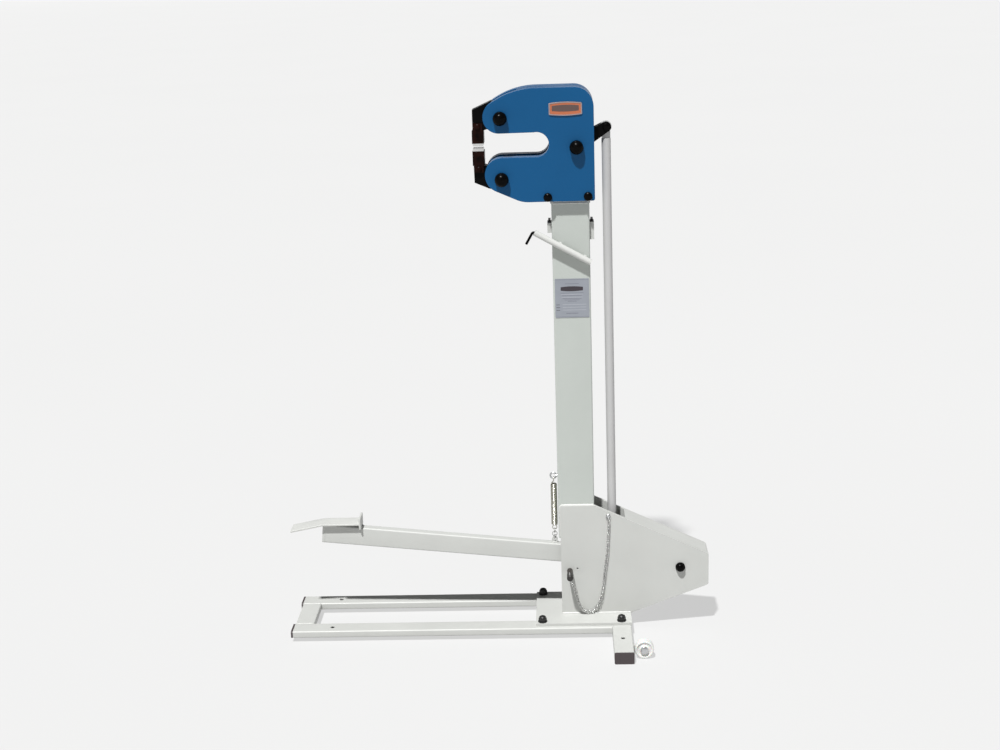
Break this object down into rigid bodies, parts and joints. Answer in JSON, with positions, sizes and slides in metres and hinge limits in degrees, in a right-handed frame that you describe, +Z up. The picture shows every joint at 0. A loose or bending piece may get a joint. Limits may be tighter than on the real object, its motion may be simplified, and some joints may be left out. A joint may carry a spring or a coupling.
{
  "type": "foot-operated metal shrinker and stretcher",
  "caption": "foot-operated sheet-metal shrinker and stretcher: blue C-shaped head with cam-driven jaws on a light grey column, pedal arm, pull rod and rail base with rear transport wheels",
  "frame": {"origin": "on the floor under the middle of the overall length and width", "axes": "+X to the rear of the machine, +Y to its far side (the operator stands at -X facing +X, with +Y on the left hand), +Z up"},
  "size_m": [0.878, 0.418, 1.131],
  "materials": {
    "frame_paint": "light grey powder coat, faint orange peel",
    "column_paint": "light grey powder coat, satin",
    "pedal_paint": "light grey powder coat, worn on the tread",
    "blue_paint": "mid blue gloss enamel",
    "black_oxide": "black oxide on steel, oily sheen",
    "black_paint": "black painted steel, satin",
    "cap_plastic": "black moulded plastic",
    "foot_rubber": "black rubber",
    "wheel_nylon": "white nylon",
    "zinc": "bright zinc plate",
    "spring_steel": "oiled spring wire",
    "rod_paint": "light grey powder coat",
    "bronze": "sintered bronze",
    "ground_steel": "ground tool steel",
    "dark_steel": "black oxide tool steel",
    "label_film": null,
    "badge_metal": "blank enamelled plate, copper and grey"
  },
  "bodies": {
    "stand": {"rail_near": "frame_paint", "rail_far": "frame_paint", "front_crossbar": "frame_paint", "rear_crossbar": "frame_paint", "tube_end_caps": "cap_plastic", "front_foot_pads": "foot_rubber", "base_plate": "frame_paint", "base_bolts": "black_oxide", "base_weld_nuts": "zinc", "wheel_brackets": "frame_paint", "wheel_axles": "zinc", "side_plate_near": "frame_paint", "side_plate_far": "frame_paint", "housing_cover": "frame_paint", "column": "column_paint", "column_top_plate": "frame_paint", "pedal_pivot_bolt": "black_oxide", "pedal_pivot_spacers": "zinc", "pin_chain": "zinc", "chain_screw": "zinc", "return_spring": "spring_steel", "spring_eye_bolt": "zinc", "key_holder": "rod_paint", "data_plate": "label_film", "grip_pockets": "frame_paint", "cheek_near": "blue_paint", "cheek_far": "blue_paint", "head_spine": "blue_paint", "head_mount_bolts": "black_oxide", "pivot_bolts": "black_oxide", "badge": "badge_metal", "jaw_arm_spring": "spring_steel"},
    "pedal": {"pedal_arm": "pedal_paint", "arm_end_cap": "pedal_paint", "pedal_tread": "pedal_paint", "spring_chain": "zinc", "pedal_pivot_bush": "bronze", "rod_lower_pin": "zinc"},
    "lever": {"actuating_lever": "black_paint", "rod_upper_pin": "black_oxide"},
    "rod": {"pull_rod": "rod_paint", "rod_upper_eye": "rod_paint", "rod_lower_fork": "rod_paint", "rod_locknut": "zinc"},
    "upper_arm": {"upper_jaw_arm": "black_paint", "upper_jaw_block": "black_paint"},
    "lower_arm": {"lower_jaw_arm": "black_paint", "lower_jaw_block": "black_paint"},
    "upper_near_grip": {"upper_grip_near": "ground_steel"},
    "upper_far_grip": {"upper_grip_far": "ground_steel"},
    "lower_near_grip": {"lower_grip_near": "ground_steel"},
    "lower_far_grip": {"lower_grip_far": "ground_steel"},
    "upper_follower": {"upper_roller": "ground_steel"},
    "lower_follower": {"lower_roller": "ground_steel"},
    "near_wheel": {"wheel_near": "wheel_nylon"},
    "far_wheel": {"wheel_far": "wheel_nylon"},
    "pin": {"lock_pin": "zinc"},
    "key": {"hex_key": "black_oxide"},
    "front_spare": {"spare_grip_front": "dark_steel"},
    "rear_spare": {"spare_grip_rear": "dark_steel"}
  },
  "joints": [
    {"name": "pedal_hinge", "type": "hinge", "parent": "stand", "child": "pedal", "pos_m": [0.38, 0, 0.1335], "axis": [0, -1, 0], "range_deg": [0, 12], "stiffness_Nm_per_rad": 60, "springref_deg": -34.38, "deforming": ["return_spring"]},
    {"name": "lever_hinge", "type": "hinge", "parent": "stand", "child": "lever", "pos_m": [0.179, 0, 1.016], "axis": [0, 1, 0], "range_deg": [0, 26.4]},
    {"name": "rod_hinge", "type": "hinge", "parent": "lever", "child": "rod", "pos_m": [0.2375, 0, 1.05], "axis": [0, 1, 0], "range_deg": [-26, 0.1]},
    {"name": "upper_arm_hinge", "type": "hinge", "parent": "stand", "child": "upper_arm", "pos_m": [0.0325, 0, 1.075], "axis": [0, -1, 0], "range_deg": [0, 1.91], "deforming": ["jaw_arm_spring"]},
    {"name": "lower_arm_hinge", "type": "hinge", "parent": "stand", "child": "lower_arm", "pos_m": [0.0325, 0, 0.957], "axis": [0, 1, 0], "range_deg": [0, 1.91]},
    {"name": "upper_near_grip_slide", "type": "slide", "parent": "upper_arm", "child": "upper_near_grip", "axis": [0, -1, 0], "range_m": [0, 0.0016]},
    {"name": "upper_far_grip_slide", "type": "slide", "parent": "upper_arm", "child": "upper_far_grip", "axis": [0, 1, 0], "range_m": [0, 0.0016]},
    {"name": "lower_near_grip_slide", "type": "slide", "parent": "lower_arm", "child": "lower_near_grip", "axis": [0, -1, 0], "range_m": [0, 0.0016]},
    {"name": "lower_far_grip_slide", "type": "slide", "parent": "lower_arm", "child": "lower_far_grip", "axis": [0, 1, 0], "range_m": [0, 0.0016]},
    {"name": "upper_roller_spin", "type": "hinge", "parent": "upper_arm", "child": "upper_follower", "pos_m": [0.179, 0, 1.0443], "axis": [0, 1, 0], "continuous": true},
    {"name": "lower_roller_spin", "type": "hinge", "parent": "lower_arm", "child": "lower_follower", "pos_m": [0.179, 0, 0.9877], "axis": [0, 1, 0], "continuous": true},
    {"name": "near_wheel_spin", "type": "hinge", "parent": "stand", "child": "near_wheel", "pos_m": [0.296, -0.179, 0.02], "axis": [0, 1, 0], "continuous": true},
    {"name": "far_wheel_spin", "type": "hinge", "parent": "stand", "child": "far_wheel", "pos_m": [0.296, 0.179, 0.02], "axis": [0, 1, 0], "continuous": true},
    {"name": "lock_pin_slide", "type": "slide", "parent": "stand", "child": "pin", "axis": [0, -1, 0], "range_m": [-0.018, 0.026], "deforming": ["pin_chain"]},
    {"name": "hex_key_slide", "type": "slide", "parent": "stand", "child": "key", "axis": [-0.8693, 0, 0.4942], "range_m": [0, 0.07]},
    {"name": "front_spare_slide", "type": "slide", "parent": "stand", "child": "front_spare", "axis": [0, 0, 1], "range_m": [0, 0.03]},
    {"name": "rear_spare_slide", "type": "slide", "parent": "stand", "child": "rear_spare", "axis": [0, 0, 1], "range_m": [0, 0.04]}
  ],
  "couplings": [
    {"joint": "lever_hinge", "follows": "pedal_hinge", "ratio": 2.1933},
    {"joint": "rod_hinge", "follows": "pedal_hinge", "ratio": -2.1379},
    {"joint": "upper_arm_hinge", "follows": "pedal_hinge", "ratio": 0.15833},
    {"joint": "lower_arm_hinge", "follows": "pedal_hinge", "ratio": 0.15833},
    {"joint": "upper_near_grip_slide", "follows": "pedal_hinge", "m_per_rad": 0.007162},
    {"joint": "upper_far_grip_slide", "follows": "pedal_hinge", "m_per_rad": 0.007162},
    {"joint": "lower_near_grip_slide", "follows": "pedal_hinge", "m_per_rad": 0.007162},
    {"joint": "lower_far_grip_slide", "follows": "pedal_hinge", "m_per_rad": 0.007162}
  ]
}
